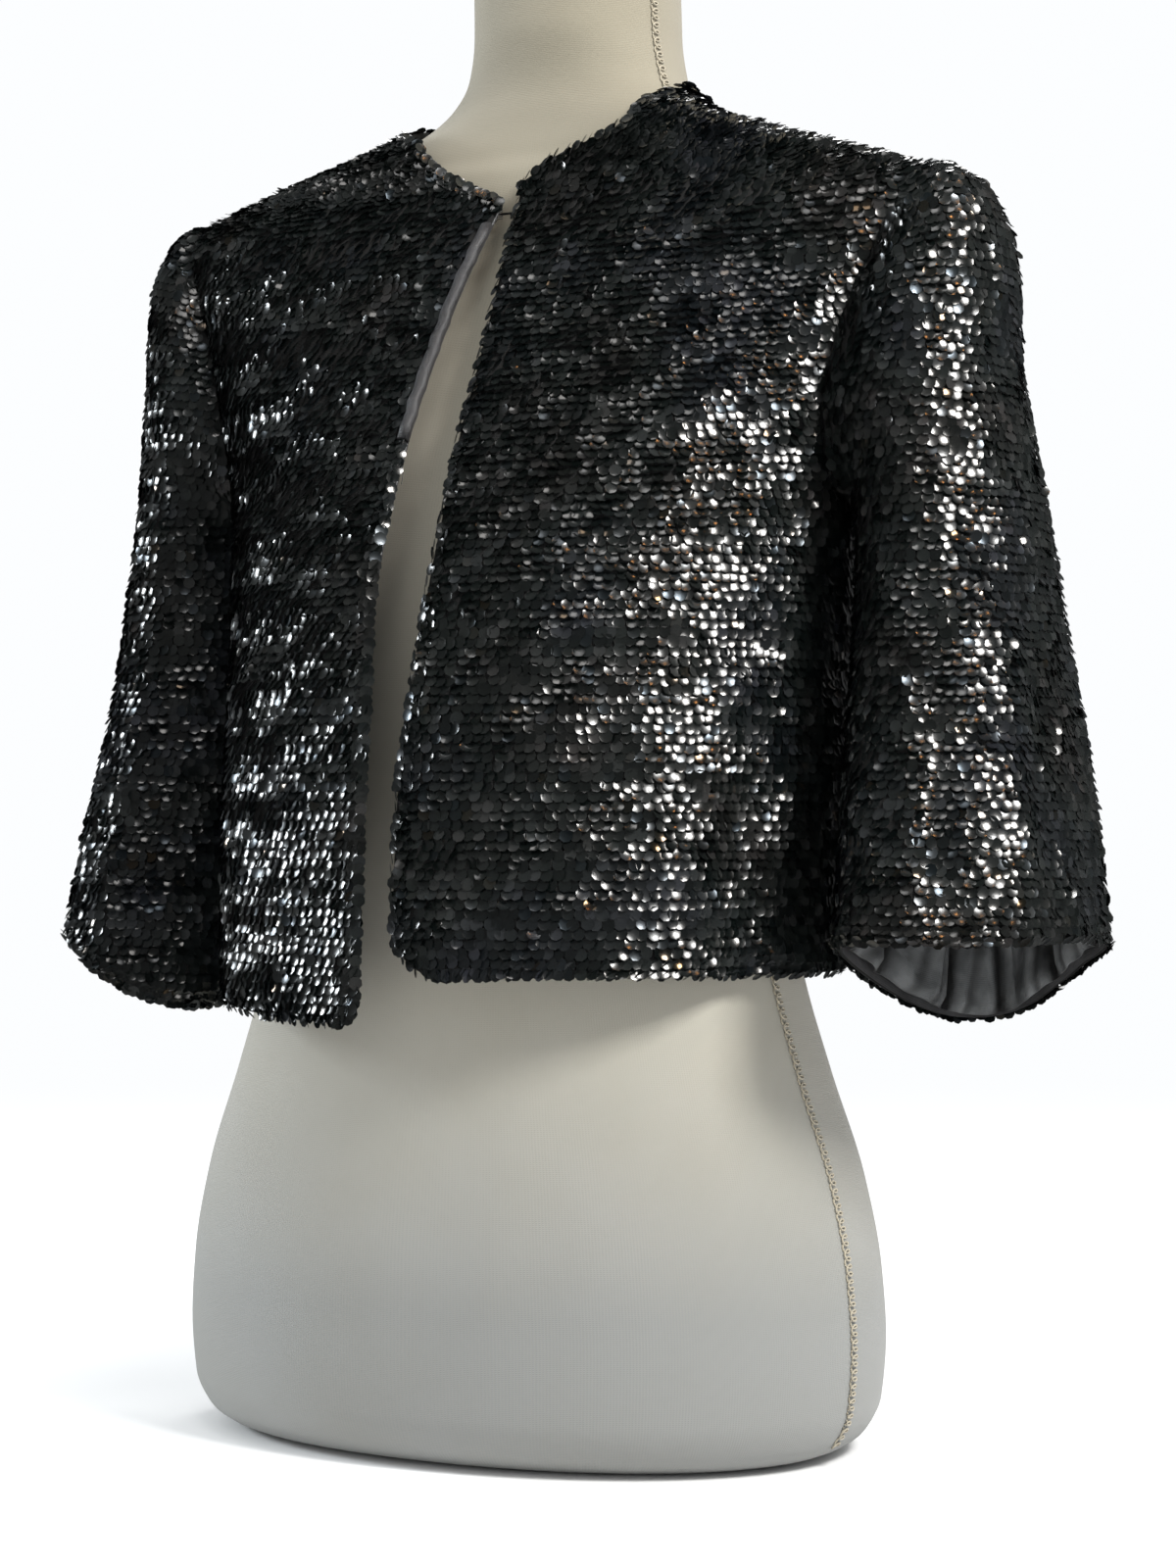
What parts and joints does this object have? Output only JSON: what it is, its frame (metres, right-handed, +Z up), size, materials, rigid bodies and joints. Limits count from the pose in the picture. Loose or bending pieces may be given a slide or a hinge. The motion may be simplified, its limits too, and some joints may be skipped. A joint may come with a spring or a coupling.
{
  "type": "sequinned matador jacket on a limbless dress form",
  "caption": "Cropped collarless bolero jacket in black sequins with set-in elbow-length bell sleeves, open at the front below a neck hook, worn on a limbless jersey dress form.",
  "frame": {"origin": "centre of the dress form's flat base", "axes": "+Z up the form, -Y the way the jacket's fronts face, +X to the wearer's left"},
  "size_m": [0.5063, 0.2484, 0.68],
  "materials": {
    "sequin_cloth": "black cloth covered in glossy overlapping cup sequins",
    "black_satin": "black satin lining with a soft sheen",
    "form_jersey": "matt cream jersey over a moulded form",
    "black_wire": "black japanned wire"
  },
  "bodies": {
    "root": {"dress_form": "form_jersey", "left_front": "sequin_cloth", "right_front": "sequin_cloth", "back": "sequin_cloth", "left_sleeve": "sequin_cloth", "right_sleeve": "sequin_cloth", "left_sleeve_lining": "black_satin", "right_sleeve_lining": "black_satin", "left_front_facing": "black_satin", "right_front_facing": "black_satin", "back_neck_facing": "black_satin", "hook": "black_wire", "eye": "black_wire"}
  },
  "joints": []
}
